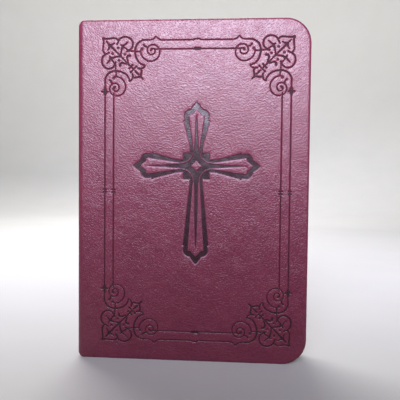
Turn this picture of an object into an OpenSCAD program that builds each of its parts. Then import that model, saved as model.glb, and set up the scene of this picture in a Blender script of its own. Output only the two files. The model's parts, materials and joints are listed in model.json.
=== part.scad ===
// A pocket prayer book in a limp leather case, standing on its tail edge.
// X runs from the spine (-X) to the fore edge (+X), Y from the front cover (-Y) to the back cover (+Y),
// and Z from the tail (bottom) to the head (top). The origin is the middle of the foot of the closed book.

/* [Book] */
// Width of the closed book, spine to fore edge
book_w = 108; // [104:1:120]
// Height of the closed book
book_h = 159; // [156:1:175]

/* [Case] */
// Thickness of the cover leather
leather_t = 0.8; // [0.7:0.05:0.9]
// Thickness of the flexible board under the leather
board_t = 0.85; // [0.8:0.05:1.1]
// Thickness of the leather that is folded in around the board
turn_in_t = 0.4; // [0.3:0.05:0.5]
// Width of that folded leather on the inside of the cover
turn_in_w = 12; // [8:1:16]
// Radius of the cover's two fore-edge corners
cover_corner_r = 11.5; // [9:0.5:14]
// Radius of the arris along the outer face of the cover
arris_r = 0.6; // [0.4:0.1:0.7]
// Radius of the roll that joins the spine to each cover
roll_r = 3; // [2.8:0.1:3.2]
// Overhang of the covers past the leaves
square_w = 2.5; // [2:0.5:4]

/* [Leaves] */
// Distance from one sewn section to the next
section_pitch = 1.4; // [1.3:0.05:1.5]
// Thickness of the paper of the endpapers
endpaper_t = 0.14; // [0.12:0.01:0.15]
// Diameter of the sewing thread
thread_d = 0.3; // [0.2:0.05:0.35]

/* [Pressed ornament] */
// Depth of the lines pressed into the front cover
press_depth = 0.25; // [0.15:0.05:0.35]
// Width of a pressed line
line_w = 0.5; // [0.4:0.1:0.7]
// Distance between the two rules of the border
rule_gap = 4.1; // [3.5:0.1:5]
// Radius of the small lobes of a corner ornament
lobe_r = 3.3; // [2.8:0.1:3.4]
// Outer radius of the scroll beside each corner ornament
scroll_r = 4; // [3.4:0.1:4.2]

/* [Hidden] */

$fn = 64;
tiny = 0.01;

// Thin layers: the paper of the case and the play between loose sheets.
pastedown_t = 0.15;
play = 0.03;
inlay_t = 0.5;
lining_t = 0.15;
mull_t = 0.35;
hollow_t = 0.7;

// The leaves are sewn in equal sections; each folded edge is a half-round.
section_count = 10;
section_t = section_pitch - play;
leaves_t = section_count * section_pitch;

// Layers of one cover, from its outer face to the first leaf.
cover_t = leather_t + board_t;
stack_t = cover_t + pastedown_t + play + endpaper_t + play;
book_t = leaves_t + 2 * stack_t;
outer_y = book_t / 2;

// Stations along X.
spine_x = -book_w / 2;
fore_x = book_w / 2;
hinge_x = spine_x + roll_r;
// A cover that is folded right back stops this far from the spine.
swing_gap = 0.3;
panel_x = hinge_x + roll_r + swing_gap;
inlay_x = spine_x + leather_t;
lining_x = inlay_x + inlay_t + hollow_t;
mull_x = lining_x + lining_t;
fold_x = mull_x + mull_t;
fold_r = section_t / 2;
fold_centre_x = fold_x + section_pitch / 2;
leaf_fore_x = fore_x - square_w;
spine_flat = outer_y - roll_r;

// Stations along Z.
leaf_low_z = square_w;
leaf_high_z = book_h - square_w;
leaf_corner_r = cover_corner_r - square_w;

// Sewing: the notches that hold the thread, from the tail to the head.
thread_stations = [14, 42, 79.5, 117, 145];
notch_h = 0.8;
thread_reach = leaves_t / 2 - 0.8;
// Each flyleaf is pasted to the outer section along a strip this wide, and turns from its edge.
tipped_w = 1.3;

// The two cloths behind the folds stop short of the leaves at the sides, and short of the head and tail.
back_half = leaves_t / 2 - 0.2;
cloth_low_z = 8;
cloth_high_z = book_h - 8;

// The pressed border and cross sit a little towards the fore edge.
frame_x = 2.15;
frame_w = 85.7;
frame_h = 139.3;
frame_z = book_h / 2 + 0.35;
corner_reach = 24;
cross_x = 2.3;
cross_z = 91.5;

// ---- Shared shapes --------------------------------------------------------------------------------

// Draws its 2D child in the XZ plane and fills it from y0 to y1.
module plate(y0, y1) {
    translate([0, y1, 0]) rotate([90, 0, 0]) linear_extrude(y1 - y0) children();
}

// Outline of a sheet whose two fore-edge corners are rounded.
module leaf_outline(x0, x1, z0, z1, r) {
    translate([x0, z0]) square([x1 - r - x0, z1 - z0]);
    translate([x1 - r, z0 + r]) square([r, z1 - z0 - 2 * r]);
    for (z = [z0 + r, z1 - r]) translate([x1 - r, z]) circle(r);
}

// Outline of a cover, inset from its head, tail and fore edges; its corners never get sharper than 2 mm.
module cover_outline(inset) {
    leaf_outline(panel_x, fore_x - inset, inset, book_h - inset, max(cover_corner_r - inset, 2));
}

// Section through the rim of a cover: inner face at y = 0, outer face at y = cover_t, arris rounded.
module rim_profile() {
    square([arris_r, cover_t - arris_r]);
    translate([0, cover_t - arris_r]) intersection() {
        circle(arris_r);
        square(arris_r);
    }
}

// The solid body of a cover, still without the room for its board.
module cover_blank() {
    corner_x = fore_x - cover_corner_r;
    plate(-outer_y, -outer_y + cover_t) cover_outline(arris_r);
    // The rim along the head and the tail.
    for (low = [true, false])
        translate([panel_x, -outer_y + cover_t, low ? arris_r : book_h - arris_r])
            mirror([0, 0, low ? 1 : 0])
                rotate([90, 0, 90]) linear_extrude(corner_x - panel_x)
                    rotate(90) rim_profile();
    // The rim along the fore edge.
    translate([fore_x - arris_r, -outer_y + cover_t, cover_corner_r])
        linear_extrude(book_h - 2 * cover_corner_r)
            mirror([0, 1]) rim_profile();
    // The rim round the two corners.
    for (low = [true, false])
        translate([corner_x, -outer_y + cover_t, low ? cover_corner_r : book_h - cover_corner_r])
            rotate([90, low ? 90 : 0, 0]) rotate_extrude(angle = 90)
                translate([cover_corner_r - arris_r, 0]) rim_profile();
}

// The room for the board: full size behind the leather, smaller between the turned-in edges.
module board_shape() {
    plate(-outer_y + leather_t, -outer_y + cover_t - turn_in_t) cover_outline(leather_t);
    plate(-outer_y + cover_t - turn_in_t - tiny, -outer_y + cover_t) cover_outline(turn_in_w);
}

// ---- Pressed ornament -----------------------------------------------------------------------------

// One arm of the cross along +X: a tapering band with a barb, two shoulders and a pointed end.
module arm_outline(reach) {
    polygon([[0, 2.8], [10, 3.1], [reach - 9.1, 6.2], [reach - 8.6, 5.3],
             [reach - 6, 5.7], [reach - 4.4, 4.8], [reach - 3.5, 2.7], [reach - 2, 1.9], [reach, 0],
             [reach - 2, -1.9], [reach - 3.5, -2.7], [reach - 4.4, -4.8], [reach - 6, -5.7],
             [reach - 8.6, -5.3], [reach - 9.1, -6.2], [10, -3.1], [0, -2.8]]);
}

// The raised strip on each side of an arm's middle groove, joined at the arm's end.
module arm_panel(reach) {
    difference() {
        polygon([[7, 1.7], [10, 1.9], [reach - 7, 3.75], [reach - 6.3, 3.5], [reach - 6.2, 2.3],
                 [reach - 3.6, 0],
                 [reach - 6.2, -2.3], [reach - 6.3, -3.5], [reach - 7, -3.75], [10, -1.9], [7, -1.7]]);
        polygon([[6.9, 1], [reach - 8, 0.4], [reach - 7.4, 0], [reach - 8, -0.4], [6.9, -1]]);
    }
}

// The pressed cross: a sunk outline with raised strips and a raised diamond in the middle.
module cross_outline() {
    arm_angles = [0, 90, 180, 270];
    arm_reaches = [29.6, 29.6, 29.6, 45.7];
    difference() {
        union() {
            square(12.4, center = true);
            for (i = [0:3]) rotate(arm_angles[i]) arm_outline(arm_reaches[i]);
        }
        for (i = [0:3]) rotate(arm_angles[i]) arm_panel(arm_reaches[i]);
        rotate(45) square(3.5, center = true);
    }
}

// A pressed ring of middle radius r.
module ring(r) {
    difference() {
        circle(r + line_w / 2);
        circle(r - line_w / 2);
    }
}

// A pressed line between two points.
module stroke(from, to) {
    run = to - from;
    translate(from) rotate(atan2(run[1], run[0])) translate([0, -line_w / 2]) square([norm(run), line_w]);
}

// One corner ornament with its corner point at the origin, spreading along +X and +Y.
module corner_ornament() {
    leaf_side = 7.3;
    // The leaf in the corner and the two lobes beside it.
    stroke([0.2, 0.2], [leaf_side, 0.4]);
    stroke([0.2, 0.2], [0.4, leaf_side]);
    translate([11, 3]) ring(lobe_r);
    translate([3, 11]) ring(lobe_r);
    // The stem along the diagonal, ending in a small pointed bud.
    stroke([4, 4], [15.5, 15.5]);
    translate([16.2, 16.2]) ring(1.6);
    stroke([17.3, 17.3], [19.2, 19.2]);
    // The scrolls that the two rules end in.
    translate([23, 7]) ring(scroll_r);
    translate([23.4, 6]) ring(scroll_r / 2);
    translate([7, 22.8]) ring(scroll_r);
    translate([6, 23.2]) ring(scroll_r / 2);
    stroke([14.3, 6.3], [23 - scroll_r, 6.3]);
    stroke([6.3, 14.3], [6.3, 22.8 - scroll_r]);
}

// One straight rule of the border.
module rule(span) {
    translate([-span / 2, -line_w / 2]) square([span, line_w]);
}

// The double-ruled border: each pair of rules stops at the corner ornaments.
module border_outline() {
    for (side = [0, 1]) {
        across = side == 0 ? frame_h : frame_w;
        along = (side == 0 ? frame_w : frame_h) - 2 * corner_reach;
        for (turn = [0, 180])
            rotate(side * 90 + turn) translate([0, across / 2]) {
                rule(along);
                translate([0, -rule_gap]) rule(along);
            }
    }
    for (sx = [1, -1]) for (sz = [1, -1])
        translate([sx * (frame_w / 2 + 1.2), sz * (frame_h / 2 + 1.2)])
            mirror([sx > 0 ? 1 : 0, 0]) mirror([0, sz > 0 ? 1 : 0]) corner_ornament();
}

// ---- Case -----------------------------------------------------------------------------------------

module front_cover_leather() {
    color("#7a3f52") difference() {
        cover_blank();
        board_shape();
        plate(-outer_y - 1, -outer_y + press_depth) {
            translate([frame_x, frame_z]) border_outline();
            translate([cross_x, cross_z]) cross_outline();
        }
    }
}

module back_cover_leather() {
    color("#7a3f52") mirror([0, 1, 0]) difference() {
        cover_blank();
        board_shape();
    }
}

module front_board() {
    color("#b9a88a") board_shape();
}

module back_board() {
    color("#b9a88a") mirror([0, 1, 0]) board_shape();
}

// The paper glued over the inside of the board; it runs on past the board, part of the way to the hinge line.
module pastedown() {
    face_y = -outer_y + cover_t;
    trim = 0.5;
    low_z = leaf_low_z + trim;
    high_z = leaf_high_z - trim;
    plate(face_y, face_y + pastedown_t)
        leaf_outline(hinge_x + roll_r / 2, leaf_fore_x - trim, low_z, high_z, leaf_corner_r);
}

module front_pastedown() {
    color("#efe8d8") pastedown();
}

module back_pastedown() {
    color("#efe8d8") mirror([0, 1, 0]) pastedown();
}

// The stiff part of the spine, with its head and tail folded in over the ends of the inlay.
module spine_leather() {
    color("#6d3446") {
        translate([spine_x, -spine_flat, 0]) cube([leather_t, 2 * spine_flat, book_h]);
        for (z = [0, book_h - turn_in_w])
            translate([inlay_x, -spine_flat, z]) cube([inlay_t, 2 * spine_flat, turn_in_w]);
    }
}

// A strip of card that stiffens the spine between the two turned-in ends.
module spine_inlay() {
    color("#b9a88a") translate([inlay_x, -spine_flat + 0.1, turn_in_w])
        cube([inlay_t, 2 * spine_flat - 0.2, book_h - 2 * turn_in_w]);
}

// The flexible leather that rolls from the spine onto a cover.
module joint_leather() {
    linear_extrude(book_h) {
        translate([hinge_x, -spine_flat]) intersection() {
            difference() {
                circle(roll_r);
                circle(roll_r - leather_t);
            }
            translate([-roll_r, -roll_r]) square(roll_r);
        }
        translate([hinge_x, -outer_y]) square([panel_x - hinge_x, leather_t]);
    }
}

module front_joint_leather() {
    color("#6d3446") joint_leather();
}

module back_joint_leather() {
    color("#6d3446") mirror([0, 1, 0]) joint_leather();
}

// ---- Back of the sewn leaves ----------------------------------------------------------------------

module mull() {
    color("#d8d2c2") translate([mull_x, -back_half, cloth_low_z])
        cube([mull_t, 2 * back_half, cloth_high_z - cloth_low_z]);
}

module spine_lining() {
    color("#c9b48c") translate([lining_x, -back_half, cloth_low_z])
        cube([lining_t, 2 * back_half, cloth_high_z - cloth_low_z]);
}

// A corded cloth band: the bead stands on the end of the leaves, its tape is glued over the lining.
module end_band() {
    bead_r = 0.8;
    tape_t = 0.12;
    tape_h = 14;
    bead_half = leaves_t / 2 - 0.4;
    translate([lining_x - tape_t + bead_r, 0, leaf_high_z + bead_r + play])
        rotate([90, 0, 0]) cylinder(r = bead_r, h = 2 * bead_half, center = true);
    translate([lining_x - tape_t, -bead_half, leaf_high_z - tape_h])
        cube([tape_t, 2 * bead_half, tape_h + bead_r]);
}

module head_band() {
    color("#8a2e3c") end_band();
}

module tail_band() {
    color("#8a2e3c") translate([0, 0, book_h]) mirror([0, 0, 1]) end_band();
}

// Linked stitches across the folds, one row at each sewing station.
module sewing_thread() {
    color("#e9e2d0") for (z = thread_stations)
        translate([fold_x, -thread_reach, z - thread_d / 2])
            cube([thread_d, 2 * thread_reach, thread_d]);
}

// ---- Leaves ---------------------------------------------------------------------------------------

// A blank leaf that is free from its pasted strip to the fore edge.
module flyleaf() {
    near_y = -leaves_t / 2 - play;
    plate(near_y - endpaper_t, near_y)
        leaf_outline(fold_centre_x + tipped_w, leaf_fore_x, leaf_low_z, leaf_high_z, leaf_corner_r);
}

module front_flyleaf() {
    color("#efe8d8") flyleaf();
}

module back_flyleaf() {
    color("#efe8d8") mirror([0, 1, 0]) flyleaf();
}

// One folded and sewn section, counted from the front. Its notches take the sewing thread.
module section(index) {
    middle_y = -leaves_t / 2 + (index - 0.5) * section_pitch;
    color("#f0ead9") difference() {
        intersection() {
            linear_extrude(book_h) translate([fold_centre_x, middle_y]) {
                translate([0, -fold_r]) square([leaf_fore_x - fold_centre_x, section_t]);
                circle(fold_r);
            }
            plate(middle_y - section_t, middle_y + section_t)
                leaf_outline(spine_x, leaf_fore_x, leaf_low_z, leaf_high_z, leaf_corner_r);
        }
        for (z = thread_stations)
            translate([fold_x - 1, middle_y - section_t, z - notch_h / 2])
                cube([fold_centre_x - fold_x + 1, 2 * section_t, notch_h]);
    }
}

spine_leather();
spine_inlay();
spine_lining();
mull();
head_band();
tail_band();
sewing_thread();
front_joint_leather();
back_joint_leather();
front_cover_leather();
front_board();
front_pastedown();
back_cover_leather();
back_board();
back_pastedown();
front_flyleaf();
back_flyleaf();
section(1);  // section_01
section(2);  // section_02
section(3);  // section_03
section(4);  // section_04
section(5);  // section_05
section(6);  // section_06
section(7);  // section_07
section(8);  // section_08
section(9);  // section_09
section(10);  // section_10
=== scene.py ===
"""A pocket prayer book in a limp leather case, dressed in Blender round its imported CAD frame.

Shapes are worked out in millimetres, in the frame of the CAD model, and turned into metres when a mesh
is made. X runs from the spine to the fore edge, -Y faces out of the front cover, and Z runs from the tail
to the head.
"""
import json
import math

import bmesh
import bpy
import numpy as np
from mathutils import Matrix, Vector
from mathutils.geometry import delaunay_2d_cdt


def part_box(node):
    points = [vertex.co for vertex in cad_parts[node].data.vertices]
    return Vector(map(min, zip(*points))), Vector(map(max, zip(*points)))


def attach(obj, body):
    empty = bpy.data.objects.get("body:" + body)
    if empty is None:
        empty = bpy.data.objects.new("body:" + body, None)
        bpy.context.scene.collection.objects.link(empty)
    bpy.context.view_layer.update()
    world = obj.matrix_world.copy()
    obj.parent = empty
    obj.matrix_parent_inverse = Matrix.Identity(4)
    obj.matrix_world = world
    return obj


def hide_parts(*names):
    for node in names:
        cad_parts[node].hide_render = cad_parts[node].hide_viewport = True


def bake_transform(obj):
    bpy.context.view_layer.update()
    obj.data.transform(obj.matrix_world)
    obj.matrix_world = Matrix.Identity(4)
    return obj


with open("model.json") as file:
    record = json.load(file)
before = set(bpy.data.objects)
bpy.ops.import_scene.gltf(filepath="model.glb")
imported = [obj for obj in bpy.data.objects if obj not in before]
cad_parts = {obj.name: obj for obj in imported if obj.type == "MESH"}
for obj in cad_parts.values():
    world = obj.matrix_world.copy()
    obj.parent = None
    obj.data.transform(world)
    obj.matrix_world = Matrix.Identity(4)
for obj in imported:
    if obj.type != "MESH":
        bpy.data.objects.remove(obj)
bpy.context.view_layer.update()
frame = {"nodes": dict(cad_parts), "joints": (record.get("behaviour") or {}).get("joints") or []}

MM = 0.001
# FAR stands for no distance yet, and TINY keeps a division away from zero.
FAR = 1e9
TINY = 1e-12
MIRRORS = ((1, 1), (1, -1), (-1, 1), (-1, -1))


# ---- Measures taken from the frame ----

def box_mm(node):
    """Lowest and highest corner of a CAD node, in millimetres."""
    low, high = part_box(node)
    return np.array(low) / MM, np.array(high) / MM


def joint_mm(name):
    """The point on a joint's axis, in millimetres."""
    joint = next(j for j in frame["joints"] if j["name"] == name)
    return np.array(joint["pos_m"]) / MM


spine_low, spine_high = box_mm("spine_leather")
cover_low, cover_high = box_mm("front_cover_leather")
board_low, board_high = box_mm("front_board")
paste_low, paste_high = box_mm("front_pastedown")
inlay_low = box_mm("spine_inlay")[0]

BOOK_H = cover_high[2]
MID_Z = BOOK_H / 2
SPINE_X = spine_low[0]
FORE_X = cover_high[0]
OUTER_Y = -cover_low[1]
ROLL_START = spine_high[1]
ROLL_R = OUTER_Y - ROLL_START
LEATHER_T = board_low[1] - cover_low[1]
COVER_T = board_high[1] - cover_low[1]
PASTE_INSET = FORE_X - paste_high[0]
TURN_IN_W = inlay_low[2]
TURN_IN_T = 0.4
CORNER_R = 11.5

# The leather is worked out flat, as (along, z), and then bent round the spine. "along" starts in the middle
# of the spine, and the roll is the quarter turn between the spine and the cover.
ROLL_END = ROLL_START + ROLL_R * math.pi / 2
ALONG_OFFSET = ROLL_END - (SPINE_X + ROLL_R)
ALONG_FORE = FORE_X + ALONG_OFFSET
FRONT, BACK = -1, 1


# ---- Small helpers ----

def smoothstep(low, high, value):
    t = np.clip((value - low) / (high - low), 0, 1)
    return t * t * (3 - 2 * t)


def make_piece(name, points_mm, faces, material, body=None):
    """A smooth mesh object from points in millimetres. It rides on a body when one is given."""
    mesh = bpy.data.meshes.new(name)
    mesh.from_pydata((np.asarray(points_mm) * MM).tolist(), [], faces)
    mesh.validate()
    shape = bmesh.new()
    shape.from_mesh(mesh)
    bmesh.ops.recalc_face_normals(shape, faces=shape.faces)
    shape.to_mesh(mesh)
    shape.free()
    mesh.update()
    mesh.polygons.foreach_set("use_smooth", [True] * len(mesh.polygons))
    mesh.materials.append(material)
    piece = bpy.data.objects.new(name, mesh)
    bpy.context.scene.collection.objects.link(piece)
    if body is not None:
        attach(piece, body)
    return piece


def sharpen(piece, degrees):
    """Keeps an edge crisp in smooth shading where it turns by more than this."""
    piece.data.set_sharp_from_angle(angle=math.radians(degrees))


def set_scalar(piece, name, values):
    attribute = piece.data.attributes.new(name, "FLOAT", "POINT")
    attribute.data.foreach_set("value", np.asarray(values, np.float32))


def set_vector(piece, name, values):
    attribute = piece.data.attributes.new(name, "FLOAT_VECTOR", "POINT")
    attribute.data.foreach_set("vector", np.asarray(values, np.float32).ravel())


def catmull_rom(points, step):
    """A smooth curve through given points, sampled about every step millimetres."""
    p = np.asarray(points, float)
    if len(p) < 3:
        count = max(2, int(np.linalg.norm(p[-1] - p[0]) / step) + 1)
        return p[0] + (p[-1] - p[0]) * np.linspace(0, 1, count)[:, None]
    ends = np.vstack([2 * p[0] - p[1], p, 2 * p[-1] - p[-2]])
    curve = []
    for i in range(1, len(ends) - 2):
        a, b, c, d = ends[i - 1:i + 3]
        count = max(1, int(round(np.linalg.norm(c - b) / step)))
        for t in np.arange(count) / count:
            curve.append(0.5 * (2 * b + (c - a) * t + (2 * a - 5 * b + 4 * c - d) * t * t
                                + (3 * b - a - 3 * c + d) * t ** 3))
    curve.append(p[-1])
    return np.array(curve)


# ---- Pressed ornament ----
# The border is the same in all four corners, so it is drawn once, in corner coordinates: a runs in from the
# side of the frame and b runs in from its head or tail, both from the tip of the corner leaf.

FRAME_CENTRE = np.array([2.3, MID_Z + 0.1])
FRAME_HALF = np.array([44.2, 70.95])
CROSS_CENTRE = np.array([2.3, MID_Z + 12.0])
CROSS_REACH = 50
PRESS_DEPTH = 0.30
LINE_HALF = 0.18
CURVE_STEP = 0.3
RULE_STEP = 0.5


def spiral(centre, radii):
    """A scroll that starts on the side of the corner, a quarter turn from each radius to the next."""
    quarters = len(radii) - 1
    turns = np.linspace(0, quarters, 8 * quarters + 1)
    radius = np.interp(turns, np.arange(len(radii)), radii)
    # Each radius is the mean of its neighbours, so that the scroll widens evenly.
    spread = 5
    radius = np.convolve(np.pad(radius, spread // 2, mode="edge"), np.ones(spread) / spread, mode="valid")
    angle = math.pi - turns * math.pi / 2
    return np.array(centre) + radius[:, None] * np.stack([np.cos(angle), np.sin(angle)], 1)


def corner_strokes():
    """Lines of half a corner ornament: (points, half widths along the line). The rest mirrors them."""
    lines = []

    def line(points, *half_widths):
        path = catmull_rom(points, CURVE_STEP)
        given = half_widths or (LINE_HALF, LINE_HALF)
        widths = np.interp(np.linspace(0, 1, len(path)), np.linspace(0, 1, len(given)), given)
        lines.append((path, widths))

    def dot(a, b, radius):
        lines.append((np.array([[a, b], [a + 0.02, b]]), np.array([radius, radius])))

    # The corner leaf, its veins, and the stem that runs in along the diagonal.
    line([(0.1, 0.1), (1.6, 0.45), (3.3, 0.35), (5.0, 0.15), (6.1, 0.25), (6.9, 0.75), (7.5, 1.35)],
         0.3, 0.22, 0.25)
    line([(7.5, 1.35), (7.2, 2.2), (6.7, 3.0)], 0.2, 0.28)
    line([(1.7, 1.7), (2.5, 2.55), (3.5, 3.05), (4.6, 3.0), (5.6, 2.4)], 0.16, 0.26, 0.16)
    line([(3.5, 3.5), (5.0, 5.0)], 0.45, 0.3)
    line([(5.0, 5.0), (9.0, 9.0), (14.6, 14.6)], 0.3, 0.22, 0.26)
    # The lobe beside the leaf, with its own veins and branch.
    line([(7.5, 1.35), (8.3, 0.35), (9.5, -0.25), (10.9, -0.38), (12.3, 0.0), (13.4, 0.85), (14.1, 2.1),
          (14.1, 3.7), (13.4, 5.0), (12.2, 5.8), (11.2, 6.2)], 0.25, 0.28, 0.22)
    line([(8.5, 3.35), (9.6, 3.6), (10.6, 3.05), (11.8, 1.95)], 0.16, 0.28, 0.14)
    line([(9.5, 4.2), (10.5, 4.6), (11.3, 5.2), (12.0, 5.8)], 0.36, 0.2, 0.22)
    line([(9.5, 4.0), (9.0, 5.4), (8.7, 6.8), (8.6, 8.3)], 0.42, 0.24, 0.24)
    # The bud on the stem.
    line([(12.1, 11.3), (11.7, 10.0), (11.5, 9.1), (12.0, 8.35), (12.9, 8.2)], 0.22, 0.3, 0.45)
    # The bar that joins the lobe to the scroll, and the outer band of the scroll.
    line([(11.2, 6.25), (13.0, 6.05), (15.3, 6.3), (17.6, 6.4)])
    line([(20.6, 1.1), (19.0, 1.2), (17.8, 1.7), (16.6, 2.55), (15.8, 3.75), (15.3, 5.4), (15.3, 6.8),
          (15.6, 8.5), (16.4, 10.4), (17.5, 11.7), (18.7, 12.4), (20.0, 12.75)], 0.22, 0.3, 0.28, 0.22)
    line([(20.0, 12.75), (19.6, 13.5), (18.7, 14.05), (17.8, 14.2), (16.8, 14.05)], 0.16, 0.25, 0.2)
    # The scroll itself, with a bud and a small hook where it begins.
    scroll = spiral((23.2, 6.1), (5.5, 4.8, 3.45, 2.75, 2.25, 1.65, 1.45, 1.1, 0.6))
    lines.append((scroll, np.full(len(scroll), LINE_HALF)))
    line([(19.3, 3.25), (19.9, 3.95), (21.2, 4.4)], 0.32, 0.2)
    dot(23.0, 5.5, 0.45)
    # The pointed pendant at the end of the stem.
    line([(16.6, 14.05), (17.8, 14.4), (18.35, 15.2), (18.1, 16.6), (17.9, 17.8)], 0.2, 0.28, 0.3)
    line([(15.8, 13.3), (14.6, 14.6)], 0.2, 0.16)
    line([(14.1, 12.6), (13.4, 13.4)], 0.18, 0.16)
    line([(15.2, 15.2), (17.1, 17.1)], 0.2, 0.34, 0.2)
    line([(17.9, 17.9), (19.2, 19.2)], 0.3, 0.36, 0.12)
    for a, b, radius in ((7.2, 4.65, 0.5), (10.4, 7.6, 0.45), (14.1, 12.6, 0.38), (15.8, 13.3, 0.4),
                         (18.4, 5.3, 0.62)):
        dot(a, b, radius)
    return lines


def rule_strokes():
    """The two rules along the head and the two along the side, with the clasps and finials on them."""
    end_a, end_b = FRAME_HALF
    return [
        # Along the head: a crown on the outer rule, then a small double arch and a block at the middle.
        ([(19.0, 1.15), (22.6, 1.05), (24.1, 0.5), (24.95, -0.45), (25.8, 0.45), (27.2, 1.1), (28.5, 1.2)],
         LINE_HALF),
        ([(28.5, 1.2), (end_a - 1.6, 1.2)], LINE_HALF),
        ([(end_a - 1.6, 1.2), (end_a - 0.9, 0.75), (end_a - 0.45, 0.6), (end_a, 0.95)], LINE_HALF),
        ([(24.4, 5.3), (end_a, 5.3)], LINE_HALF),
        ([(end_a - 1.1, 5.15), (end_a, 5.15)], 0.55),
        # Down the side: a cross tick between two small triangles, then the clasp at the middle.
        ([(1.2, 19.0), (1.2, 22.6)], LINE_HALF),
        ([(1.2, 22.6), (1.2, 23.9)], (LINE_HALF, 0.75)),
        ([(-0.35, 24.75), (2.6, 24.75)], 0.3),
        ([(1.2, 25.55), (1.2, 26.6)], (0.75, LINE_HALF)),
        ([(1.2, 26.4), (1.2, end_b)], LINE_HALF),
        ([(5.3, 25.4), (5.3, end_b)], LINE_HALF),
        ([(0.6, end_b - 0.65), (1.8, end_b - 0.65)], 0.3),
        ([(4.6, end_b - 0.65), (6.0, end_b - 0.65)], 0.3),
    ]


def border_strokes():
    """Every line of a quarter of the border, in corner coordinates."""
    lines = []
    for path, widths in corner_strokes():
        lines.append((path, widths))
        lines.append((path[:, ::-1], widths))
    for points, half_width in rule_strokes():
        path = catmull_rom(points, RULE_STEP)
        ends = half_width if isinstance(half_width, tuple) else (half_width, half_width)
        lines.append((path, np.linspace(ends[0], ends[1], len(path))))
    return lines


BORDER = border_strokes()


def arm_outline(reach):
    """Outline of one arm of the cross: t along the arm, s across it, with barbs, shoulders and a point."""
    side = [(0, 2.8), (8, 2.85), (10, 3.1), (reach - 9.5, 5.85), (reach - 9.1, 6.35), (reach - 8.7, 5.9),
            (reach - 8.6, 5.35), (reach - 7.4, 5.65), (reach - 6.0, 5.75), (reach - 4.9, 5.3),
            (reach - 4.1, 4.4), (reach - 3.6, 3.3), (reach - 3.4, 2.6), (reach - 2.6, 2.1),
            (reach - 1.3, 1.15), (reach, 0)]
    return np.array(side + [(t, -s) for t, s in side[-2::-1]])


def arm_panel(reach):
    """Outline of the raised panel in an arm. A groove runs up its middle and stops short of its point."""
    outer = [(7.6, 1.55), (10, 1.9), (reach - 7, 3.75), (reach - 6.3, 3.65), (reach - 6.15, 2.9),
             (reach - 6.0, 2.3), (reach - 5.1, 1.6), (reach - 4.2, 0.8), (reach - 3.5, 0)]
    groove = [(7.6, 1.0), (10, 0.8), (reach - 14.6, 0.44), (reach - 9.0, 0.2), (reach - 7.2, 0)]
    other_side = [(t, -s) for t, s in outer[-2::-1] + groove[:-1]]
    return np.array(outer + other_side + groove[::-1])


ARMS = ((0, 29.6), (1, 29.6), (2, 29.6), (3, 45.7))
BLOCK_HALF = 6.1
DIAMOND_HALF = 2.5
RIB_HALF = 0.24
RIB_SIDE = [(8.6, 1.35), (7.0, 1.4), (6.0, 1.52), (4.9, 1.85), (3.8, 2.45)]
RIB = catmull_rom(RIB_SIDE + [(3.05, 3.05)] + [(t, s) for s, t in RIB_SIDE[::-1]], CURVE_STEP)


def quarter_turned(points, quarters):
    """Points turned about the origin by a number of quarter turns."""
    angle = quarters * math.pi / 2
    c, s = round(math.cos(angle)), round(math.sin(angle))
    points = np.asarray(points, float)
    return np.stack([points[:, 0] * c - points[:, 1] * s, points[:, 0] * s + points[:, 1] * c], 1)


def to_segment(points, a, b):
    """How far along the segment from a to b, 0 to 1, each point lies, and its distance from the segment."""
    run = b - a
    share = np.clip(((points - a) @ run) / max(run @ run, TINY), 0, 1)
    return share, np.linalg.norm(points - a - share[:, None] * run, axis=1)


def distance_to_lines(points, lines):
    """Distance from each point to the nearest edge of a set of round-ended lines, negative inside them."""
    best = np.full(len(points), FAR)
    for path, widths in lines:
        reach = widths.max() + 2.0
        near = np.all((points > path.min(0) - reach) & (points < path.max(0) + reach), axis=1)
        if not near.any():
            continue
        here = points[near]
        closest = best[near]
        for a, b, width_a, width_b in zip(path[:-1], path[1:], widths[:-1], widths[1:]):
            share, distance = to_segment(here, a, b)
            closest = np.minimum(closest, distance - (width_a + (width_b - width_a) * share))
        best[near] = closest
    return best


def distance_to_outline(points, outline):
    """Distance from each point to a closed outline, negative inside it."""
    best = np.full(len(points), FAR)
    inside = np.zeros(len(points), bool)
    for a, b in zip(outline, np.roll(outline, -1, axis=0)):
        best = np.minimum(best, to_segment(points, a, b)[1])
        crosses = (a[1] > points[:, 1]) != (b[1] > points[:, 1])
        run = b - a
        rise = np.where(run[1] == 0, TINY, run[1])
        inside ^= crosses & (points[:, 0] < a[0] + run[0] * (points[:, 1] - a[1]) / rise)
    return np.where(inside, -best, best)


def distance_to_cross(points):
    """Distance to the pressed area of the cross, in its own coordinates, negative where it is pressed."""
    folded = np.abs(points)
    pressed = np.max(folded, axis=1) - BLOCK_HALF
    raised = np.sum(folded, axis=1) / math.sqrt(2) - DIAMOND_HALF / math.sqrt(2)
    raised = np.minimum(raised, distance_to_lines(folded, [(RIB, np.full(len(RIB), RIB_HALF))]))
    for quarters, reach in ARMS:
        outline = quarter_turned(arm_outline(reach), quarters)
        panel = quarter_turned(arm_panel(reach), quarters)
        pressed = np.minimum(pressed, distance_to_outline(points, outline))
        raised = np.minimum(raised, distance_to_outline(points, panel))
    return np.maximum(pressed, -raised)


def to_corner(points):
    """Front-cover points (x, z) in corner coordinates."""
    return FRAME_HALF - np.abs(points - FRAME_CENTRE)


def pressed_distance(points):
    """Distances from points (x, z) on the front cover to the border and to the cross, negative inside."""
    border = distance_to_lines(to_corner(points), BORDER)
    cross = np.full(len(points), FAR)
    near = np.all(np.abs(points - CROSS_CENTRE) < CROSS_REACH, axis=1)
    cross[near] = distance_to_cross(points[near] - CROSS_CENTRE)
    return border, cross


# ---- Materials ----
# A printed page: the pitch of its rows, the part of the pitch that a row fills, and the area of its text.

ROW_PITCH = 3.6
ROW_BOTTOM, ROW_TOP = 0.3, 0.62
TEXT_LEFT, TEXT_RIGHT = -38.0, 41.0
TEXT_TAIL, TEXT_HEAD = 18.0, 142.0


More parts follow.
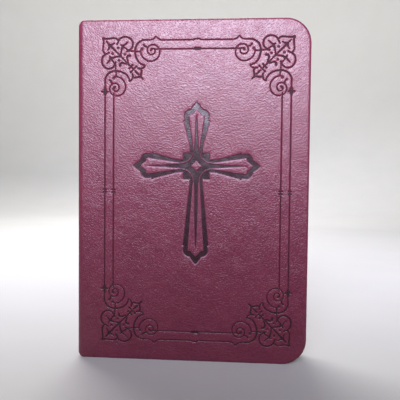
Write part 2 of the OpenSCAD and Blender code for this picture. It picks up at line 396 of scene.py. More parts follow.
def srgb(red, green, blue):
    """A colour given as it looks on screen, 0 to 255, as the shader wants it."""
    return tuple(((c / 255 + 0.055) / 1.055) ** 2.4 for c in (red, green, blue)) + (1.0,)


class Graph:
    """A material's node graph, built node by node. A socket takes a value or another node's output."""

    def __init__(self, name):
        self.material = bpy.data.materials.new(name)
        self.material.use_nodes = True
        self.tree = self.material.node_tree
        self.tree.nodes.clear()
        self.output = self.tree.nodes.new("ShaderNodeOutputMaterial")

    def node(self, kind, sockets, **settings):
        node = self.tree.nodes.new("ShaderNode" + kind)
        for key, value in settings.items():
            setattr(node, key, value)
        for key, value in sockets.items():
            if isinstance(value, bpy.types.NodeSocket):
                self.tree.links.new(value, node.inputs[key])
            else:
                node.inputs[key].default_value = value
        return node

    def attribute(self, name, output="Fac"):
        return self.node("Attribute", {}, attribute_name=name).outputs[output]

    def place(self):
        """The point on the surface in millimetres, in the object's own frame."""
        coordinates = self.node("TexCoord", {}).outputs["Object"]
        return self.stretch(coordinates, (1 / MM, 1 / MM, 1 / MM))

    def stretch(self, vector, scale):
        mapping = {"Vector": vector, "Scale": scale}
        return self.node("Mapping", mapping).outputs["Vector"]

    def parts(self, vector):
        return self.node("SeparateXYZ", {"Vector": vector}).outputs

    def noise(self, vector, scale, detail=2.0, rough=0.5, output="Fac"):
        sockets = {"Vector": vector, "Scale": scale, "Detail": detail, "Roughness": rough}
        return self.node("TexNoise", sockets).outputs[output]

    def cells(self, vector, scale, feature="F1"):
        node = self.node("TexVoronoi", {"Vector": vector, "Scale": scale}, feature=feature)
        return node.outputs["Distance"]

    def math(self, operation, a, b=0.0):
        return self.node("Math", {0: a, 1: b}, operation=operation).outputs[0]

    def add(self, a, b):
        return self.math("ADD", a, b)

    def times(self, a, b):
        return self.math("MULTIPLY", a, b)

    def remap(self, value, low, high, to_low=0.0, to_high=1.0):
        sockets = {"Value": value, "From Min": low, "From Max": high, "To Min": to_low, "To Max": to_high}
        return self.node("MapRange", sockets, interpolation_type="SMOOTHSTEP").outputs["Result"]

    def push(self, vector, offset, amount):
        """A vector moved by a noise colour, so that a pattern bends."""
        centred = self.node("VectorMath", {0: offset, 1: (0.5, 0.5, 0.5)}, operation="SUBTRACT").outputs[0]
        scaled = self.node("VectorMath", {0: centred, "Scale": amount}, operation="SCALE").outputs[0]
        return self.node("VectorMath", {0: vector, 1: scaled}, operation="ADD").outputs[0]

    def blend(self, factor, a, b):
        """Colour a where the factor is 0 and b where it is 1. The Mix node's colours are sockets 6 and 7."""
        return self.node("Mix", {0: factor, 6: a, 7: b}, data_type="RGBA", blend_type="MIX").outputs[2]

    def bump(self, height, depth_mm):
        """Relief from a height of 0 to 1 that stands for depth_mm."""
        sockets = {"Height": height, "Distance": depth_mm * MM, "Strength": 1.0}
        return self.node("Bump", sockets).outputs["Normal"]

    def surface(self, **sockets):
        named = {key.replace("_", " "): value for key, value in sockets.items()}
        shader = self.node("BsdfPrincipled", named)
        self.tree.links.new(shader.outputs[0], self.output.inputs[0])
        return self.material


def leather_material():
    """Wine-coloured calf grain: flat pebbles, fine pores and short creases. Pressed leather is darker, dull
    in the border's lines and polished in the cross. A highlight is painted pale pink along the lip of the
    cross, strongest where its edge faces up."""
    g = Graph("wine_leather")
    flat = g.attribute("flat", "Vector")
    press = g.attribute("press")
    painted_lip_highlight = g.attribute("painted_lip_highlight")
    ironed = g.attribute("ironed")
    grain = g.attribute("grain", "Vector")
    worn = g.attribute("worn")
    bent = g.push(grain, g.noise(flat, 0.16, 2.0, output="Color"), 3.5)
    pebbles = g.cells(g.stretch(bent, (0.65, 1.1, 1.0)), 1.8, "SMOOTH_F1")
    pebble_top = g.remap(pebbles, 0.62, 0.12)
    pores = g.noise(flat, 2.6, 2.0, 0.6)
    waves = g.noise(g.stretch(bent, (0.40, 1.25, 0.6)), 1.05, 3.0, 0.6)
    crease = g.remap(g.math("ABSOLUTE", g.math("SUBTRACT", waves, 0.5)), 0.055, 0.0)
    mottle = g.noise(flat, 0.07, 3.0, 0.6)
    blotch = g.noise(g.stretch(flat, (0.6, 1.0, 1.0)), 0.45, 3.0, 0.65)

    hollow_red, top_red = srgb(88, 20, 43), srgb(101, 27, 52)
    crease_pink, mottle_red, worn_pink = srgb(134, 56, 84), srgb(112, 40, 60), srgb(150, 88, 106)
    highlight_pink, line_dark, cross_dark = srgb(196, 150, 176), srgb(34, 3, 15), srgb(36, 9, 21)
    lit = g.add(g.times(pebble_top, 0.45), g.times(blotch, 0.75))
    tone = g.blend(g.remap(lit, 0.25, 0.85), hollow_red, top_red)
    tone = g.blend(g.times(crease, 0.2), tone, crease_pink)
    tone = g.blend(g.remap(mottle, 0.35, 0.7, 0.0, 0.35), tone, mottle_red)
    tone = g.blend(g.times(worn, g.remap(pores, 0.3, 0.7, 0.0, 0.3)), tone, worn_pink)
    # Painted highlight: the lip of the cross is painted pale pink, strongest where its edge faces up.
    tone = g.blend(g.times(painted_lip_highlight, 0.55), tone, highlight_pink)
    tone = g.blend(g.times(press, 0.97), tone, g.blend(ironed, line_dark, cross_dark))

    relief = g.add(g.times(pebble_top, 0.75), g.times(pores, 0.3))
    relief = g.add(relief, g.times(waves, 0.5))
    unpressed = g.math("SUBTRACT", 1.0, g.times(press, 0.8))
    normal = g.bump(g.times(relief, unpressed), 0.072)
    rough = g.add(g.remap(blotch, 0.3, 0.7, 0.34, 0.41), g.times(press, 0.45))
    rough = g.math("SUBTRACT", rough, g.times(ironed, 0.54))
    return g.surface(Base_Color=tone, Roughness=rough, Normal=normal, Specular_IOR_Level=0.5)


def rows_of_marks(g, place):
    """Where a page has ink, 0 to 1: rows broken into uneven marks, only inside the text's own area."""
    x, y, z = g.parts(place)
    row = g.math("FLOOR", g.math("DIVIDE", z, ROW_PITCH))
    height = g.math("SUBTRACT", g.math("DIVIDE", z, ROW_PITCH), row)
    in_row = g.times(g.math("GREATER_THAN", height, ROW_BOTTOM), g.math("LESS_THAN", height, ROW_TOP))
    along_row = {"X": g.times(x, 0.42), "Y": g.times(row, 7.3), "Z": g.times(y, 3.0)}
    seat = g.node("CombineXYZ", along_row).outputs[0]
    words = g.remap(g.noise(seat, 1.0, 0.0), 0.40, 0.43)
    strokes = g.remap(g.noise(g.stretch(place, (1.6, 1.0, 0.9)), 1.6, 1.0), 0.36, 0.6, 0.35, 0.9)
    ink = g.times(g.times(in_row, words), strokes)
    for value, low, high in ((x, TEXT_LEFT, TEXT_RIGHT), (z, TEXT_TAIL, TEXT_HEAD)):
        inside = g.times(g.math("GREATER_THAN", value, low), g.math("LESS_THAN", value, high))
        ink = g.times(ink, inside)
    return ink


def paper_material(name, light, dark, printed):
    """Book paper with faint fibres. A printed page has rows of grey marks, and no letters."""
    g = Graph(name)
    place = g.place()
    fibres = g.noise(g.stretch(place, (2.2, 2.2, 0.9)), 1.0, 4.0, 0.65)
    cut = g.noise(g.stretch(place, (0.25, 9.0, 0.25)), 1.0, 2.0, 0.7)
    tone = g.blend(g.remap(fibres, 0.35, 0.7), light, dark)
    tone = g.blend(g.remap(cut, 0.3, 0.75, 0.0, 0.35), tone, dark)
    if printed:
        tone = g.blend(rows_of_marks(g, place), tone, srgb(70, 62, 58))
    return g.surface(Base_Color=tone, Roughness=0.85, Normal=g.bump(g.add(fibres, cut), 0.03),
                     Subsurface_Weight=0.05, Subsurface_Scale=0.001, Specular_IOR_Level=0.3)


def board_material(name, light, dark):
    """Pressed pulp board with flecks."""
    g = Graph(name)
    place = g.place()
    pulp = g.noise(place, 0.9, 5.0, 0.7)
    flecks = g.remap(g.cells(g.stretch(place, (1.0, 1.0, 0.5)), 1.3), 0.1, 0.03, 0.0, 0.6)
    tone = g.blend(flecks, g.blend(g.remap(pulp, 0.3, 0.7), light, dark), srgb(92, 84, 74))
    return g.surface(Base_Color=tone, Roughness=0.9, Normal=g.bump(pulp, 0.06))


def weave_material(name, light, dark, pitch):
    """Open-weave cloth, its threads running across the spine and along it."""
    g = Graph(name)
    place = g.place()
    _, y, z = g.parts(place)
    across = g.math("ABSOLUTE", g.math("SINE", g.times(y, math.pi / pitch)))
    up = g.math("ABSOLUTE", g.math("SINE", g.times(z, math.pi / pitch)))
    threads = g.math("MAXIMUM", across, up)
    slub = g.noise(place, 0.8, 3.0, 0.6)
    tone = g.blend(g.remap(threads, 0.55, 0.95), dark, light)
    tone = g.blend(g.remap(slub, 0.3, 0.7, 0.0, 0.4), tone, dark)
    return g.surface(Base_Color=tone, Roughness=0.9, Normal=g.bump(threads, 0.12))


def thread_material(name, light, dark, twist):
    """Twisted linen thread."""
    g = Graph(name)
    place = g.place()
    x, y, z = g.parts(place)
    lay = g.math("SINE", g.times(g.add(g.add(x, y), z), math.pi / twist))
    fuzz = g.noise(place, 6.0, 2.0, 0.6)
    tone = g.blend(g.remap(g.add(lay, fuzz), -0.6, 1.4), dark, light)
    return g.surface(Base_Color=tone, Roughness=0.8, Normal=g.bump(lay, 0.05), Sheen_Weight=0.3,
                     Sheen_Roughness=0.5)


def band_material():
    """Silk wound over the head and tail bands, in two colours by turns."""
    g = Graph("wound_silk")
    silk = g.attribute("silk")
    fuzz = g.noise(g.stretch(g.place(), (3.0, 9.0, 3.0)), 1.0, 2.0)
    tone = g.blend(g.math("GREATER_THAN", silk, 0.5), srgb(226, 216, 196), srgb(122, 30, 48))
    tone = g.blend(g.remap(fuzz, 0.3, 0.7, 0.0, 0.35), tone, srgb(92, 62, 56))
    return g.surface(Base_Color=tone, Roughness=0.55, Normal=g.bump(fuzz, 0.03), Sheen_Weight=0.4,
                     Sheen_Roughness=0.3)


def floor_material():
    """Pale matt floor."""
    g = Graph("pale_floor")
    grain = g.noise(g.place(), 0.02, 3.0)
    tone = g.blend(grain, srgb(203, 203, 201), srgb(210, 209, 207))
    return g.surface(Base_Color=tone, Roughness=0.7, Specular_IOR_Level=0.25)


leather = leather_material()
page_paper = paper_material("page_paper", srgb(240, 234, 220), srgb(224, 214, 194), True)
end_paper = paper_material("end_paper", srgb(232, 226, 212), srgb(214, 204, 186), False)
kraft_paper = paper_material("kraft_paper", srgb(188, 152, 110), srgb(160, 124, 84), False)
grey_board = board_material("grey_board", srgb(170, 164, 152), srgb(140, 132, 120))
inlay_board = board_material("inlay_board", srgb(186, 168, 138), srgb(156, 136, 106))
mull_cloth = weave_material("mull_cloth", srgb(226, 220, 204), srgb(168, 158, 138), 0.7)
band_silk = band_material()
sewing_linen = thread_material("sewing_linen", srgb(238, 232, 216), srgb(186, 174, 150), 0.5)
floor_paint = floor_material()


# ---- The leather case ----

RIM_OUTER_W = 1.3
RIM_INNER_W = 1.2
RIM_SHOULDER = 0.85
TURNED_T = COVER_T + 0.07
CAP_DIP = 1.6
CAP_REACH = 14
SPINE_FILL = 0.54
DROOP = 0.006
LIP_PLACE, LIP_W = 0.2, 0.13
WORN_W = 1.1
PANEL_STEP = 2.4
BEND_END = ROLL_END + 3.4
ORNAMENT_STEP = 0.11
CONTOUR_STEP = 0.35
INNER_STEP = 4.0
GAPS = (-0.12, 0.03, 0.16, 0.32, 0.7)


def rim_profile():
    """(inset, depth) pairs from the outer face, round the edge and along the turn-in to the inner face."""
    outer = [(RIM_OUTER_W * (1 - math.sin(t)), RIM_SHOULDER * (1 - math.cos(t)))
             for t in np.linspace(0, math.pi / 2, 8)]
    inner = [(RIM_INNER_W * (1 - math.sin(t)), RIM_SHOULDER - (TURNED_T - RIM_SHOULDER) * math.cos(t))
             for t in np.linspace(math.pi / 2, math.pi, 7)[1:]]
    turn_in = [(PASTE_INSET, TURNED_T), (PASTE_INSET + 1, COVER_T + 0.01), (TURN_IN_W, COVER_T + 0.01),
               (TURN_IN_W, COVER_T - TURN_IN_T), (LEATHER_T, COVER_T - TURN_IN_T), (LEATHER_T, LEATHER_T)]
    return outer + inner + turn_in


def columns():
    """Places along the leather where its edges have points: close together where it bends."""
    spine = np.linspace(0, ROLL_START, 4)
    bend = np.arange(ROLL_START, BEND_END, 0.5)[1:]
    return np.concatenate([spine, bend])


def edge_ring(inset):
    """The leather's outline moved in by inset: along the tail, up the fore edge and back along the head."""
    corner = max(CORNER_R - inset, 0.5)
    far = ALONG_FORE - inset - corner
    panel = np.linspace(BEND_END, far, 42)
    straight = np.concatenate([columns(), panel])
    turn = np.linspace(0, math.pi / 2, 11)[1:-1]
    arc = np.stack([far + corner * np.sin(turn), inset + corner * (1 - np.cos(turn))], 1)
    rise = np.linspace(inset + corner, MID_Z, 24)[:-1]
    tail = np.stack([straight, np.full(len(straight), inset)], 1)
    fore = np.stack([np.full(len(rise), ALONG_FORE - inset), rise], 1)
    half = np.vstack([tail, arc, fore])
    mirrored = half[::-1] * (1, -1) + (0, BOOK_H)
    middle = np.array([[ALONG_FORE - inset, MID_Z]])
    return np.vstack([half, middle, mirrored])


def cap_dip(along, z):
    """The leather is drawn in a little at the head and tail of the spine, so its corners there are soft."""
    amount = CAP_DIP * (1 - smoothstep(ROLL_START - 0.5, ROLL_END, along))
    at_tail = 1 - smoothstep(0, CAP_REACH, z)
    at_head = 1 - smoothstep(0, CAP_REACH, BOOK_H - z)
    return z + amount * at_tail - amount * at_head


def place_leather(along, z, depth, side):
    """From the flat leather to the book. depth is measured inward from the outer face."""
    turn = np.clip((along - ROLL_START) / ROLL_R, 0, math.pi / 2)
    x = SPINE_X + ROLL_R * (1 - np.cos(turn)) + np.maximum(along - ROLL_END, 0) + depth * np.cos(turn)
    y = np.minimum(along, ROLL_START) + (ROLL_R - depth) * np.sin(turn)
    return np.stack([x, side * y, cap_dip(along, z)], 1)


def thin_at_spine(along, depth):
    """The spine has a thinner filling than the cover, so the turn-in lies less deep there."""
    share = SPINE_FILL + (1 - SPINE_FILL) * smoothstep(ROLL_START, ROLL_END, along)
    return np.where(depth > LEATHER_T, LEATHER_T + (depth - LEATHER_T) * share, depth)


def swell(along, z):
    """Long, shallow waves in the leather, as it lies over its filling."""
    waves = ((0.030, 0.045, 0.021, 0.4), (0.026, -0.038, 0.052, 1.9), (0.020, 0.083, 0.064, 4.1),
             (0.016, 0.121, -0.092, 2.6), (0.010, 0.197, 0.153, 5.2))
    return sum(size * np.sin(2 * math.pi * (a * along + b * z) + start) for size, a, b, start in waves)


def press_profile(border, cross):
    """How deep the leather is pressed, from its distances to the border and to the cross. The leather round
    them is drawn down too, by sag, which dies away over a distance of fade."""
    def pressed(distance, inner, outer, sag, fade):
        slope = PRESS_DEPTH * (1 - smoothstep(inner, outer, distance))
        return slope + sag * np.exp(-np.maximum(distance, 0) / fade)

    return np.maximum(pressed(border, -0.16, 0.20, 0.05, 0.4), pressed(cross, -0.04, 0.30, 0.13, 0.5))


def upward_edge(ground, cross):
    """How much the edge of the cross faces upward near each point: 1 below a pressed area, 0 elsewhere."""
    near = np.abs(cross) < 1
    facing = np.zeros(len(ground))
    here = ground[near] - CROSS_CENTRE
    step = 0.05
    below, above = distance_to_cross(here - (0, step)), distance_to_cross(here + (0, step))
    facing[near] = (below - above) / (2 * step)
    return np.clip(facing, 0, 1)


def beside(path, half_widths, gap):
    """Two lines of points that run along a pressed line, gap millimetres outside its edges."""
    run = np.gradient(path, axis=0)
    normal = np.stack([-run[:, 1], run[:, 0]], 1) / np.linalg.norm(run, axis=1)[:, None]
    reach = (half_widths + gap)[:, None]
    return np.vstack([path + normal * reach, path - normal * reach])


def border_points():
    """Points for one corner of the border, in corner coordinates, close together across each line."""
    rows = []
    for path, widths in BORDER:
        rows.append(path)
        for gap in GAPS:
            rows.append(beside(path, widths, gap))
        round_end = np.array([(math.cos(t), math.sin(t)) for t in np.arange(0, 2 * math.pi, math.pi / 4)])
        for end, width in ((path[0], widths[0]), (path[-1], widths[-1])):
            for gap in GAPS[1:4]:
                rows.append(end + round_end * (width + gap))
    points = np.vstack(rows)
    middle = FRAME_HALF + 0.05
    return points[np.all(points <= middle, axis=1)]


def cross_points():
    """Points along the contours of the cross, in its own coordinates."""
    rows = []

    def contour(outline, quarters):
        closed = np.vstack([outline, outline[:1]])
        dense = [a + (b - a) * t for a, b in zip(closed[:-1], closed[1:])
                 for t in np.arange(0, 1, CONTOUR_STEP / max(np.linalg.norm(b - a), CONTOUR_STEP))]
        path = quarter_turned(dense, quarters)
        for gap in (-0.3,) + GAPS:
            rows.append(beside(path, np.zeros(len(path)), gap))

    for quarters, reach in ARMS:
        contour(arm_outline(reach), quarters)
        contour(arm_panel(reach), quarters)
    half, tip = BLOCK_HALF, DIAMOND_HALF
    contour(np.array([(half, half), (-half, half), (-half, -half), (half, -half)]), 0)
    contour(np.array([(tip, 0), (0, tip), (-tip, 0), (0, -tip)]), 0)
    for signs in MIRRORS:
        for gap in (-0.1, 0.03, 0.16, 0.3):
            rows.append(beside(RIB, np.full(len(RIB), RIB_HALF), gap) * signs)
        rows.append(RIB * signs)
    return np.vstack(rows)


def ornament_points():
    """Every point that the pressed ornament needs on the front cover, as (x, z)."""
    corner = FRAME_HALF - border_points()
    four = [FRAME_CENTRE + corner * signs for signs in MIRRORS]
    return np.vstack(four + [CROSS_CENTRE + cross_points()])


def thinned(points, spacing):
    """Drops points that fall in the same small square as an earlier one."""
    keys = np.floor(points / spacing).astype(int)
    kept = np.unique(keys, axis=0, return_index=True)[1]
    return points[np.sort(kept)]


def field_points(busy):
    """A loose, even spread of points over the flat leather, left out where busy points already lie."""
    edge_gap = RIM_OUTER_W + 0.6
    busy_cell = 0.9
    pitch_z = PANEL_STEP * math.sqrt(3) / 2
    rows = np.arange(pitch_z, BOOK_H, pitch_z)
    panel = [(along + (PANEL_STEP / 2 if i % 2 else 0), z)
             for i, z in enumerate(rows) for along in np.arange(BEND_END + 1, ALONG_FORE, PANEL_STEP)]
    bend = [(along, z) for z in rows for along in columns()[1:]]
    points = np.array(panel + bend)
    inside = (points[:, 1] > edge_gap) & (points[:, 1] < BOOK_H - edge_gap)
    inside &= points[:, 0] < ALONG_FORE - edge_gap
    centre = np.array([ALONG_FORE - CORNER_R, CORNER_R])
    folded = np.stack([points[:, 0], np.minimum(points[:, 1], BOOK_H - points[:, 1])], 1)
    in_corner = (folded[:, 0] > centre[0]) & (folded[:, 1] < centre[1])
    inside &= ~in_corner | (np.linalg.norm(folded - centre, axis=1) < CORNER_R - edge_gap)
    points = points[inside]
    taken = {tuple(key) for key in np.floor(busy / busy_cell).astype(int)}
    return points[[tuple(key) not in taken for key in np.floor(points / busy_cell).astype(int)]]


def fill_outline(ring, inner_points):
    """Triangles over a ring, closed along the middle of the spine. Returns their points, the triangles, and
    which of the points are the outline's own: the ring first, and then the seam."""
    seam = np.arange(BOOK_H - ring[0, 1] - PANEL_STEP, ring[0, 1] + PANEL_STEP / 2, -PANEL_STEP)
    outline = np.vstack([ring, np.stack([np.zeros(len(seam)), seam], 1)])
    points = [Vector(p) for p in np.vstack([outline, inner_points])]
    inside_only, nearness = 1, 1e-6
    edge = list(range(len(outline)))
    placed, _, faces, origins = delaunay_2d_cdt(points, [], [edge], inside_only, nearness, True)[:4]
    where = {old: new for new, group in enumerate(origins) for old in group}
    return np.array(placed), faces, [where[i] for i in edge]


def leather_sheet(busy):
    """The flat leather with its turned-in edges, and with extra points where it is busy. Returns its points
    (along, z), their depths, its faces, and how many of the points lie on the outer face."""
    profile = rim_profile()
    rings = [edge_ring(inset) for inset, _ in profile]
    outer, outer_faces, outer_edge = fill_outline(rings[0], np.vstack([busy, field_points(busy)]))
    inner_z = np.arange(INNER_STEP, BOOK_H - 3, INNER_STEP)
    bends = np.array([(along, z) for along in columns()[1:] for z in inner_z])
    inner, inner_faces, inner_edge = fill_outline(rings[-1], bends)
    layers = [outer] + rings[1:-1] + [inner]
    starts = [sum(len(layer) for layer in layers[:i]) for i in range(len(layers))]
    depths = [np.full(len(layer), down) for layer, (_, down) in zip(layers, profile)]

    count = len(rings[0])
    inner_start = starts[-1]
    loops = [outer_edge[:count]]
    loops += [list(range(start, start + count)) for start in starts[1:-1]]
    loops.append([inner_start + i for i in inner_edge[:count]])
    faces = [tuple(face) for face in outer_faces]
    for a, b in zip(loops[:-1], loops[1:]):
        faces += [(a[i], a[i + 1], b[i + 1], b[i]) for i in range(count - 1)]
    faces += [tuple(inner_start + i for i in face) for face in inner_faces]
    # The cut through the middle of the spine, where the two halves of the case meet.
    tail = [loop[0] for loop in loops]
    head = [loop[-1] for loop in loops]
    inner_seam = [inner_start + i for i in inner_edge[count:]]
    faces.append(tuple(tail + inner_seam[::-1] + head[::-1] + outer_edge[count:]))
    return np.vstack(layers), np.concatenate(depths), faces, len(outer)


def ornament_values(flat, outer_count):
    """At each point of the front leather: how deep it is pressed, and then, from 0 to 1, how far it lies in
    the ornament, how strong the painted highlight on the lip of the cross is there, and how far it lies in
    the cross. All are 0 off the outer face."""
    depth, press, painted_lip_highlight, ironed = np.zeros((4, len(flat)))
    surface = slice(0, outer_count)
    ground = flat[surface] - (ALONG_OFFSET, 0)
    border, cross = pressed_distance(ground)
    depth[surface] = press_profile(border, cross)
    press[surface] = 1 - smoothstep(-0.06, 0.08, np.minimum(border, cross))
    ironed[surface] = 1 - smoothstep(-0.12, 0.0, cross)
    lip = np.exp(-((cross - LIP_PLACE) / LIP_W) ** 2)
    # A painted highlight on the lip of the cross: a quarter strength all round, full where the edge faces
    # up.
    painted_lip_highlight[surface] = lip * (0.25 + 0.75 * upward_edge(ground, cross))
    return depth, press, painted_lip_highlight, ironed


def leather_shell(name, side, ornament):
    """Half of the leather case: half the spine, the joint, and one cover with its turned-in edges."""
    flat, depth, faces, outer_count = leather_sheet(ornament)
    pressed, press, painted_lip_highlight, ironed = np.zeros((4, len(flat)))
    if len(ornament):
        pressed, press, painted_lip_highlight, ironed = ornament_values(flat, outer_count)
    along, z = flat[:, 0], flat[:, 1]
    raised = swell(along * -side, z) * (1 - smoothstep(0, TURNED_T, depth))
    raised *= smoothstep(ROLL_START, BEND_END, along)
    points = place_leather(along, z, thin_at_spine(along, depth) + pressed - raised, side)
    shell = make_piece(name, points, faces, leather)
    sharpen(shell, 60)

    # Flat coordinates for the skin's pattern. In "grain" they bend, so that the creases droop towards the
    # middle of the cover, like shallow bowls.
    droop = z - ((along - ALONG_OFFSET - FRAME_CENTRE[0]) ** 2) * DROOP
    across, round_edge = along * -side, depth * 1.5
    set_vector(shell, "flat", np.stack([across, z, round_edge], 1))
    set_vector(shell, "grain", np.stack([across, droop, round_edge], 1))
    set_scalar(shell, "press", press)
    # The painted highlight on the lip of the cross, for the material.
    set_scalar(shell, "painted_lip_highlight", painted_lip_highlight)
    set_scalar(shell, "ironed", ironed)
    to_edge = np.minimum(ALONG_FORE - along, np.minimum(z, BOOK_H - z))
    set_scalar(shell, "worn", (1 - smoothstep(0.0, WORN_W, to_edge)) * (depth < TURNED_T - 0.1))
    return shell


def bend_at_joint(piece):
    """Moves the piece's placement into its mesh, so that its points are in world space."""
    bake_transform(piece)


ornament = thinned(ornament_points() + (ALONG_OFFSET, 0), ORNAMENT_STEP)
no_ornament = np.zeros((0, 2))
front_case = leather_shell("front_case_leather", FRONT, ornament)
back_case = leather_shell("back_case_leather", BACK, no_ornament)
for case, cover, side in ((front_case, "front_cover", FRONT), (back_case, "back_cover", BACK)):
    bend_at_joint(case)
    which = cover.split("_")[0]
    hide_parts(cover + "_leather", which + "_joint_leather")
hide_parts("spine_leather")


# ---- Paper ----

SHEETS = 8
LEAF_T = 0.068
LEAF_CORNER_R = 9.0
LEAF_INSET = 0.1
FOLD_X = joint_mm("section_01_turn")[0]
GUTTER_START_X, GUTTER_END_X = -51.55, -49.45
GUTTER_Y, GUTTER_T, GUTTER_FOLD = 7.13, 0.12, 0.12
SECTIONS = [name for name in sorted(frame["nodes"]) if name.startswith("section_")]
rng = np.random.default_rng(12)


def folded_sheet(middle_y, offset, fore_x, tail_z, head_z):
    """One sheet folded once: a leaf on each side of the fold, with rounded fore-edge corners."""
    angles = np.linspace(0, math.pi / 2, 6)
    inset = LEAF_CORNER_R * (1 - np.sin(angles))
    rise = LEAF_CORNER_R * (1 - np.cos(angles))
    rows_z = np.concatenate([tail_z + rise, (head_z - rise)[::-1]])
    rows_x = np.concatenate([fore_x - inset, (fore_x - inset)[::-1]])
    bow = np.linspace(-math.pi / 2, math.pi / 2, 5)
    points = []
    for z, edge in zip(rows_z, rows_x):
        for radius, order in ((offset + LEAF_T / 2, 1), (offset - LEAF_T / 2, -1)):
            leaf = FOLD_X + (edge - FOLD_X) * np.array([1.0, 0.5])
            fold = [(FOLD_X - radius * math.cos(t), middle_y + radius * math.sin(t)) for t in bow]
            path = [(x, middle_y - radius) for x in leaf] + fold
            path += [(x, middle_y + radius) for x in leaf[::-1]]
            points += [(x, y, z) for x, y in path[::order]]
    around = 2 * (4 + len(bow))
    faces = []
    for row in range(len(rows_z) - 1):
        for i in range(around):
            j = (i + 1) % around
            base = row * around
            faces.append((base + i, base + j, base + around + j, base + around + i))
    for base in (0, (len(rows_z) - 1) * around):
        faces += [(base + i, base + i + 1, base + around - 2 - i, base + around - 1 - i)
                  for i in range(around // 2 - 1)]
    return points, faces


def section_piece(name):
    """A section of folded sheets, nested one in another, their edges a little uneven as real ones are."""
    low, high = box_mm(name)
    middle_y = (low[1] + high[1]) / 2
    pitch = (high[1] - low[1]) / (2 * SHEETS)
    points, faces = [], []
    lean = rng.normal(0, 0.05, 3)
    for i in range(SHEETS):
        jitter = rng.normal(0, 0.035, 3) + lean
        sheet, quads = folded_sheet(middle_y, pitch * (i + 0.5), high[0] - LEAF_INSET + jitter[0],
                                    low[2] + LEAF_INSET + jitter[1], high[2] - LEAF_INSET + jitter[2])
        faces += [tuple(len(points) + k for k in quad) for quad in quads]
        points += sheet
    piece = make_piece(name + "_sheets", points, faces, page_paper, name)
    sharpen(piece, 40)
    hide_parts(name)


def closed_sheet(base, across, up):
    """Faces of a thin sheet whose two sides are grids of across by up points, one after the other."""
    layer = across * up
    faces = []
    for r in range(up - 1):
        for c in range(across - 1):
            quad = (r * across + c, r * across + c + 1, (r + 1) * across + c + 1, (r + 1) * across + c)
            faces += [quad, tuple(layer + k for k in quad[::-1])]
    rim = list(range(across)) + [r * across + across - 1 for r in range(1, up)]
    rim += [(up - 1) * across + c for c in range(across - 2, -1, -1)]
    rim += [r * across for r in range(up - 2, 0, -1)]
    faces += [(a, b, layer + b, layer + a) for a, b in zip(rim, rim[1:] + rim[:1])]
    return [tuple(base + k for k in face) for face in faces]


def gutter_strip(which, side):
    """The endpaper where it crosses from the spine side of the book to the cover, with rows of points close
    together at the cover's hinge.
    """
    cover = which + "_cover"
    fold_x = joint_mm(cover + "_open")[0]
    near_fold = fold_x + GUTTER_FOLD * np.array([-1, -0.5, 0, 0.5, 1])
    spine_side = [GUTTER_START_X, GUTTER_START_X + 0.2]
    cover_side = [GUTTER_END_X - 0.7, GUTTER_END_X]
    x = np.concatenate([spine_side, near_fold, cover_side])
    rows = np.linspace(paste_low[2] + 0.4, paste_high[2] - 0.4, 25)
    y = side * (GUTTER_Y + 0.07 * smoothstep(x[0], x[-1], x))
    points = [(px, py + offset, z) for offset in (GUTTER_T * side, 0) for z in rows for px, py in zip(x, y)]
    piece = make_piece(which + "_gutter_paper", points, closed_sheet(0, len(x), len(rows)), end_paper)
    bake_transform(piece)


for section in SECTIONS:
    section_piece(section)
for which, side in (("front", FRONT), ("back", BACK)):
    gutter_strip(which, side)


# ---- Bands at the head and tail ----

BAND_TURNS = 33
RIDGE = 0.07
SLANT = 0.08
TAPE_T = 0.12
TAPE_ROWS = 9
FRAY = 0.12


def wound_band(name, head_side):
    """A core wound with silk in two colours by turns, its tape glued down over the lining."""
    low, high = box_mm(name)
    core_r = (high[0] - low[0]) / 2
    core_x = (low[0] + high[0]) / 2
    core_z = high[2] - core_r if head_side else low[2] + core_r
    tape_end = low[2] if head_side else high[2]
    around = 14
    steps = np.linspace(0, BAND_TURNS, BAND_TURNS * 4 + 1)
    angles = np.arange(around) * 2 * math.pi / around
    points, silk = [], []
    for step in steps:
        radius = core_r - RIDGE * (1 - abs(math.sin(step * math.pi)))
        y = low[1] + (high[1] - low[1]) * step / BAND_TURNS
        points += [(core_x + radius * math.cos(a), y + SLANT * math.sin(a), core_z + radius * math.sin(a))
                   for a in angles]
        silk += [int(step) % 2] * around
    faces = [tuple(range(around))[::-1], tuple(range(len(points) - around, len(points)))]
    faces += [(r * around + i, r * around + (i + 1) % around, (r + 1) * around + (i + 1) % around,
               (r + 1) * around + i) for r in range(len(steps) - 1) for i in range(around)]
    base = len(points)
    across = np.linspace(low[1], high[1], 23)
    for x in (low[0], low[0] + TAPE_T):
        for z in np.linspace(core_z, tape_end, TAPE_ROWS):
            frayed = FRAY * np.sin(across * 9.0) * (z == tape_end)
            points += [(x, y, z + f) for y, f in zip(across, frayed)]
    silk += [1] * (len(points) - base)
    faces += closed_sheet(base, len(across), TAPE_ROWS)
    band = make_piece(name + "_wound", points, faces, band_silk, "spine")
    set_scalar(band, "silk", silk)
    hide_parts(name)


wound_band("head_band", True)
wound_band("tail_band", False)


# ---- CAD nodes that keep their shape ----

PLAIN_NODES = {"front_board": grey_board, "back_board": grey_board, "spine_inlay": inlay_board,
               "spine_lining": kraft_paper, "mull": mull_cloth, "sewing_thread": sewing_linen,
               "front_pastedown": end_paper, "back_pastedown": end_paper,
               "front_flyleaf": end_paper, "back_flyleaf": end_paper}
for node, material in PLAIN_NODES.items():
    frame["nodes"][node].data.materials.clear()
    frame["nodes"][node].data.materials.append(material)


# ---- The floor, the lights and the camera ----

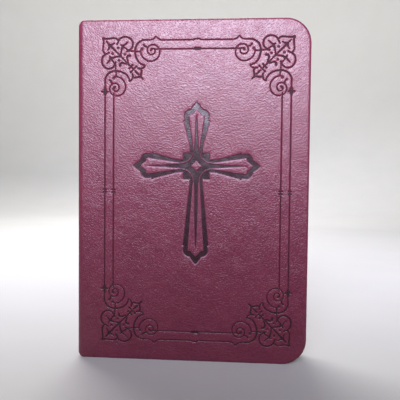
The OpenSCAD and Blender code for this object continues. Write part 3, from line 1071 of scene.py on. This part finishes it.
def add_floor():
    """A pale floor that curves up into a wall all round, so that every view has a plain ground."""
    flat_r, wall_r, wall_h, bend_r = 0.7, 1.5, 1.1, 0.55
    middle_r = 0.25
    turn = np.linspace(0, math.pi / 2, 13)
    profile = [(middle_r, 0.0), (flat_r, 0.0)]
    profile += [(wall_r - bend_r + bend_r * math.sin(t), bend_r * (1 - math.cos(t))) for t in turn]
    profile.append((wall_r, wall_h))
    around = 96
    points = [(0, 0, 0)] + [(r * math.cos(a), r * math.sin(a), z) for r, z in profile
                            for a in np.arange(around) * 2 * math.pi / around]
    faces = [(0, 1 + i, 1 + (i + 1) % around) for i in range(around)]
    for ring in range(len(profile) - 1):
        inner = 1 + ring * around
        outer = inner + around
        faces += [(inner + i, outer + i, outer + (i + 1) % around, inner + (i + 1) % around)
                  for i in range(around)]
    mesh = bpy.data.meshes.new("floor")
    mesh.from_pydata(points, [], faces)
    mesh.polygons.foreach_set("use_smooth", [True] * len(faces))
    mesh.materials.append(floor_paint)
    floor = bpy.data.objects.new("floor", mesh)
    bpy.context.scene.collection.objects.link(floor)


def softbox(name, place, target, size, power, spread, colour):
    """A soft rectangular light that faces a target: size is (width, height), and spread is in degrees."""
    light = bpy.data.lights.new(name, "AREA")
    light.shape = "RECTANGLE"
    light.size, light.size_y = size
    light.energy = power
    light.spread = math.radians(spread)
    light.color = colour
    lamp = bpy.data.objects.new(name, light)
    bpy.context.scene.collection.objects.link(lamp)
    lamp.location = place
    lamp.rotation_euler = (Vector(target) - Vector(place)).to_track_quat("-Z", "Y").to_euler()


def add_lights():
    """A wide strip above the camera, a soft light from behind, and one that brightens the wall."""
    world = bpy.data.worlds.new("studio")
    world.use_nodes = True
    background = world.node_tree.nodes["Background"]
    background.inputs["Color"].default_value = (0.86, 0.88, 0.92, 1)
    background.inputs["Strength"].default_value = 0.27
    bpy.context.scene.world = world
    softbox("key", place=(-0.045, -0.36, 0.315), target=(-0.03, 0.0, 0.19), size=(0.72, 0.22), power=1.60,
            spread=48, colour=(0.82, 0.81, 1.0))
    softbox("back", place=(-0.3, 0.7, 0.7), target=(0.0, 0.0, 0.08), size=(0.8, 0.6), power=9,
            spread=180, colour=(1.0, 0.98, 0.96))
    softbox("wall", place=(0.0, 0.62, 0.66), target=(0.0, 1.5, 0.55), size=(1.2, 0.3), power=6,
            spread=160, colour=(1.0, 0.99, 0.98))


def add_camera():
    """Stands in front of the cover, near enough to see it in slight perspective."""
    data = bpy.data.cameras.new("camera")
    data.sensor_width = 36.0
    data.lens = 46.8
    data.clip_start = 0.01
    camera = bpy.data.objects.new("camera", data)
    bpy.context.scene.collection.objects.link(camera)
    place = (0.0228, -0.249, 0.0855)
    yaw, pitch, roll = (math.radians(angle) for angle in (4.43, -2.29, -0.58))
    turn = Matrix.Rotation(yaw, 4, "Z") @ Matrix.Rotation(pitch + math.pi / 2, 4, "X")
    camera.matrix_world = Matrix.Translation(place) @ turn @ Matrix.Rotation(-roll, 4, "Z")
    bpy.context.scene.camera = camera


add_floor()
add_lights()
add_camera()
bpy.context.scene.view_settings.view_transform = "Standard"
